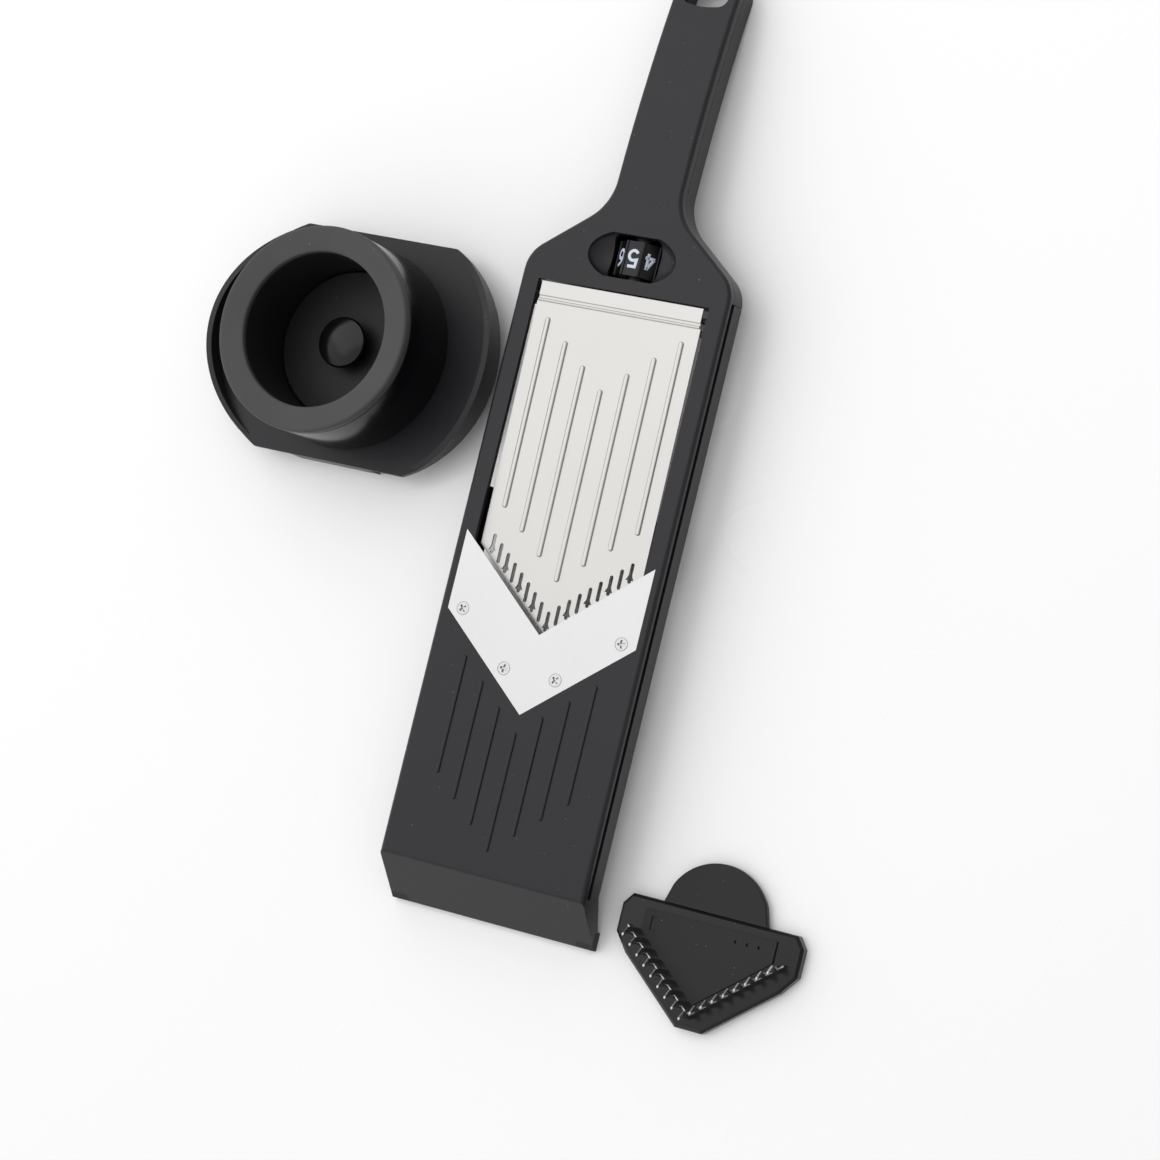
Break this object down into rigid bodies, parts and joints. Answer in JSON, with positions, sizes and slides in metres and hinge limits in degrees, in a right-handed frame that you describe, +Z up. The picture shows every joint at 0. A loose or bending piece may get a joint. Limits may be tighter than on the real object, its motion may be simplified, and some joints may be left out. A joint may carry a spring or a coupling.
{
  "type": "mandoline slicer",
  "caption": "Long-handled V-blade vegetable slicer with a dial-set hinged steel ramp, a tubular food holder and a julienne insert.",
  "frame": {"origin": "on the table, on the slicer's centre line, between the front edges of its two feet", "axes": "+Y runs along the slicer from its feet to its handle, +Z is up out of the deck, +X is the slicer's right seen from the feet"},
  "size_m": [0.383, 0.5051, 0.0638],
  "materials": {
    "black_shell": "fine satin grain",
    "black_inner": "matt",
    "ring_grey": "matt, lighter than the tray",
    "black_gloss": "polished",
    "soft_black": "matt soft grip",
    "dial_black": "satin",
    "numeral_white": "printed",
    "blade_steel": "bright satin",
    "ramp_steel": "fine satin",
    "screw_steel": "bright",
    "spring_steel": "plain",
    "brass": "plain"
  },
  "bodies": {
    "slicer": {"body_shell": "black_shell", "handle_cover": "black_shell", "left_foot": "soft_black", "right_foot": "soft_black", "v_blade": "blade_steel", "blade_screws": "screw_steel", "blade_inserts": "brass", "hinge_pin": "screw_steel", "cam_bridge": "black_inner", "bridge_screws": "screw_steel", "front_bush": "brass", "neck_bush": "brass", "rear_bush": "brass", "click_spring": "spring_steel", "cover_screws": "screw_steel"},
    "ramp": {"ramp_plate": "ramp_steel", "ramp_carrier": "black_inner", "ramp_springs": "spring_steel"},
    "dial": {"dial_shaft": "screw_steel", "shaft_clips": "spring_steel", "dial_wheel": "dial_black", "height_cam": "dial_black"},
    "holder": {"holder_tray": "black_shell", "holder_tube": "black_gloss", "holder_sleeve": "black_inner", "holder_ring": "ring_grey"},
    "pusher": {"pusher_disc": "black_inner", "pusher_pins": "screw_steel", "pusher_knob": "black_inner"},
    "julienne": {"julienne_base": "black_gloss", "julienne_panel": "black_inner", "julienne_grip": "black_inner", "julienne_comb": "blade_steel"}
  },
  "joints": [
    {"name": "dial_turn", "type": "hinge", "parent": "slicer", "child": "dial", "pos_m": [0, 0.3292, 0.0175], "axis": [0, 1, 0], "range_deg": [-225, 90]},
    {"name": "ramp_tilt", "type": "hinge", "parent": "slicer", "child": "ramp", "pos_m": [0, 0.3055, 0.025], "axis": [1, 0, 0], "range_deg": [-1.75, 0.71]},
    {"name": "holder_slide", "type": "slide", "parent": "slicer", "child": "holder", "axis": [0, 1, 0], "range_m": [-0.19, 0]},
    {"name": "pusher_lift", "type": "slide", "parent": "holder", "child": "pusher", "axis": [0, 0, 1], "range_m": [0, 0.03]},
    {"name": "julienne_lift", "type": "slide", "parent": "slicer", "child": "julienne", "axis": [0, 0, 1], "range_m": [0, 0.02]}
  ],
  "couplings": [
    {"joint": "ramp_tilt", "follows": "dial_turn", "ratio": 0.0077401}
  ]
}
